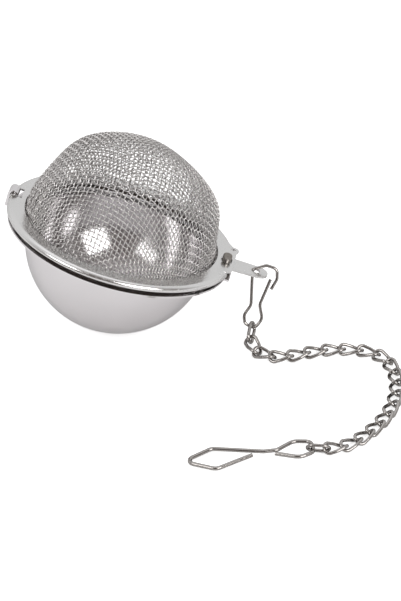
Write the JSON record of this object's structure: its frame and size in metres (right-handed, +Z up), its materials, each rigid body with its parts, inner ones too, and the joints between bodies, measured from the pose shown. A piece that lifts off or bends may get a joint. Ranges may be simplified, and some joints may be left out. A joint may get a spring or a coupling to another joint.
{
  "type": "tea infuser",
  "caption": "Ball tea infuser: a steel bowl under a hinged woven mesh dome with a swivel latch, wire clip, curb chain and wire handle hook.",
  "frame": {"origin": "the point where the round bowl touches the table", "axes": "+Z up from the table, +X from the ball towards its latch and chain, +Y away from the handle hook"},
  "size_m": [0.0951, 0.0911, 0.0481],
  "materials": {
    "polished_steel": "polished",
    "sheet_steel": "satin",
    "stud_steel": "satin",
    "mesh_steel": "woven wire",
    "wire_steel": "polished"
  },
  "bodies": {
    "bowl": {"bowl": "polished_steel"},
    "lid": {"lid_ring": "sheet_steel", "mesh_dome": "mesh_steel", "clamp_ring": "sheet_steel"},
    "latch": {"latch_stud": "stud_steel", "latch_arm": "sheet_steel"},
    "clip": {"clip": "wire_steel"},
    "link_01": {"link_01": "wire_steel"},
    "link_02": {"link_02": "wire_steel"},
    "link_03": {"link_03": "wire_steel"},
    "link_04": {"link_04": "wire_steel"},
    "link_05": {"link_05": "wire_steel"},
    "link_06": {"link_06": "wire_steel"},
    "link_07": {"link_07": "wire_steel"},
    "link_08": {"link_08": "wire_steel"},
    "link_09": {"link_09": "wire_steel"},
    "link_10": {"link_10": "wire_steel"},
    "link_11": {"link_11": "wire_steel"},
    "link_12": {"link_12": "wire_steel"},
    "link_13": {"link_13": "wire_steel"},
    "link_14": {"link_14": "wire_steel"},
    "link_15": {"link_15": "wire_steel"},
    "link_16": {"link_16": "wire_steel"},
    "link_17": {"link_17": "wire_steel"},
    "link_18": {"link_18": "wire_steel"},
    "link_19": {"link_19": "wire_steel"},
    "link_20": {"link_20": "wire_steel"},
    "link_21": {"link_21": "wire_steel"},
    "hook": {"handle_hook": "wire_steel"}
  },
  "joints": [
    {"name": "lid_hinge", "type": "hinge", "parent": "bowl", "child": "lid", "pos_m": [-0.02501, 0.00722, 0.03152], "axis": [-0.1277, -0.9802, 0.1516], "range_deg": [0, 120]},
    {"name": "latch_turn", "type": "hinge", "parent": "bowl", "child": "latch", "pos_m": [0.02514, -0.00421, 0.01633], "axis": [0.2605, 0.1143, 0.9587], "range_deg": [0, 45]},
    {"name": "clip_swing", "type": "hinge", "parent": "latch", "child": "clip", "pos_m": [0.03276, -0.00456, 0.01655], "axis": [0.957, -0.1619, -0.2407], "range_deg": [-20, 20]},
    {"name": "link_01_joint", "type": "hinge", "parent": "clip", "child": "link_01", "pos_m": [0.0322, -0.0092, 0.0037], "axis": [0.957, -0.1619, -0.2407], "range_deg": [-12, 12]},
    {"name": "link_02_joint", "type": "hinge", "parent": "link_01", "child": "link_02", "pos_m": [0.03156, -0.01233, 0.00207], "axis": [0.0355, -0.3431, 0.9386], "range_deg": [-10, 10]},
    {"name": "link_03_joint", "type": "hinge", "parent": "link_02", "child": "link_03", "pos_m": [0.03309, -0.01617, 0.00121], "axis": [0.7435, 0.6687, 0], "range_deg": [-10, 10]},
    {"name": "link_04_joint", "type": "hinge", "parent": "link_03", "child": "link_04", "pos_m": [0.0368, -0.01817, 0.00108], "axis": [0.0188, -0.004, 0.9998], "range_deg": [-10, 10]},
    {"name": "link_05_joint", "type": "hinge", "parent": "link_04", "child": "link_05", "pos_m": [0.04106, -0.01784, 0.00105], "axis": [-0.1974, 0.9803, 0], "range_deg": [-10, 10]},
    {"name": "link_06_joint", "type": "hinge", "parent": "link_05", "child": "link_06", "pos_m": [0.04514, -0.01649, 0.00105], "axis": [-0.0002, -0.0001, 1], "range_deg": [-10, 10]},
    {"name": "link_07_joint", "type": "hinge", "parent": "link_06", "child": "link_07", "pos_m": [0.0493, -0.01541, 0.00105], "axis": [-0.1736, 0.9848, 0], "range_deg": [-10, 10]},
    {"name": "link_08_joint", "type": "hinge", "parent": "link_07", "child": "link_08", "pos_m": [0.05357, -0.015, 0.00105], "axis": [0.0004, 0, 1], "range_deg": [-10, 10]},
    {"name": "link_09_joint", "type": "hinge", "parent": "link_08", "child": "link_09", "pos_m": [0.05785, -0.01539, 0.00105], "axis": [0.2384, 0.9712, 0], "range_deg": [-10, 10]},
    {"name": "link_10_joint", "type": "hinge", "parent": "link_09", "child": "link_10", "pos_m": [0.06179, -0.01701, 0.00105], "axis": [-0.0001, 0.0001, 1], "range_deg": [-10, 10]},
    {"name": "link_11_joint", "type": "hinge", "parent": "link_10", "child": "link_11", "pos_m": [0.06445, -0.02034, 0.00105], "axis": [0.8843, 0.4668, 0], "range_deg": [-10, 10]},
    {"name": "link_12_joint", "type": "hinge", "parent": "link_11", "child": "link_12", "pos_m": [0.0657, -0.02444, 0.00105], "axis": [0, 0, 1], "range_deg": [-10, 10]},
    {"name": "link_13_joint", "type": "hinge", "parent": "link_12", "child": "link_13", "pos_m": [0.06609, -0.02872, 0.00105], "axis": [1, 0.008, 0], "range_deg": [-10, 10]},
    {"name": "link_14_joint", "type": "hinge", "parent": "link_13", "child": "link_14", "pos_m": [0.06577, -0.033, 0.00105], "axis": [0, 0.0001, 1], "range_deg": [-10, 10]},
    {"name": "link_15_joint", "type": "hinge", "parent": "link_14", "child": "link_15", "pos_m": [0.06493, -0.03721, 0.00105], "axis": [0.9655, -0.2605, 0], "range_deg": [-10, 10]},
    {"name": "link_16_joint", "type": "hinge", "parent": "link_15", "child": "link_16", "pos_m": [0.06354, -0.04128, 0.00105], "axis": [-0.0001, -0.0002, 1], "range_deg": [-10, 10]},
    {"name": "link_17_joint", "type": "hinge", "parent": "link_16", "child": "link_17", "pos_m": [0.06155, -0.04509, 0.00105], "axis": [0.854, -0.5203, 0], "range_deg": [-10, 10]},
    {"name": "link_18_joint", "type": "hinge", "parent": "link_17", "child": "link_18", "pos_m": [0.05908, -0.0486, 0.00105], "axis": [0.001, 0.0012, 1], "range_deg": [-10, 10]},
    {"name": "link_19_joint", "type": "hinge", "parent": "link_18", "child": "link_19", "pos_m": [0.05623, -0.05182, 0.00106], "axis": [0.6809, -0.7324, 0], "range_deg": [-10, 10]},
    {"name": "link_20_joint", "type": "hinge", "parent": "link_19", "child": "link_20", "pos_m": [0.05282, -0.05442, 0.00115], "axis": [0.0543, 0.0298, 0.9981], "range_deg": [-10, 10]},
    {"name": "link_21_joint", "type": "hinge", "parent": "link_20", "child": "link_21", "pos_m": [0.04883, -0.05588, 0.00159], "axis": [0.163, -0.9866, 0], "range_deg": [-10, 10]},
    {"name": "hook_swing", "type": "hinge", "parent": "link_21", "child": "hook", "pos_m": [0.04521, -0.0558, 0.00175], "axis": [0, 0, 1], "range_deg": [-20, 20]}
  ]
}
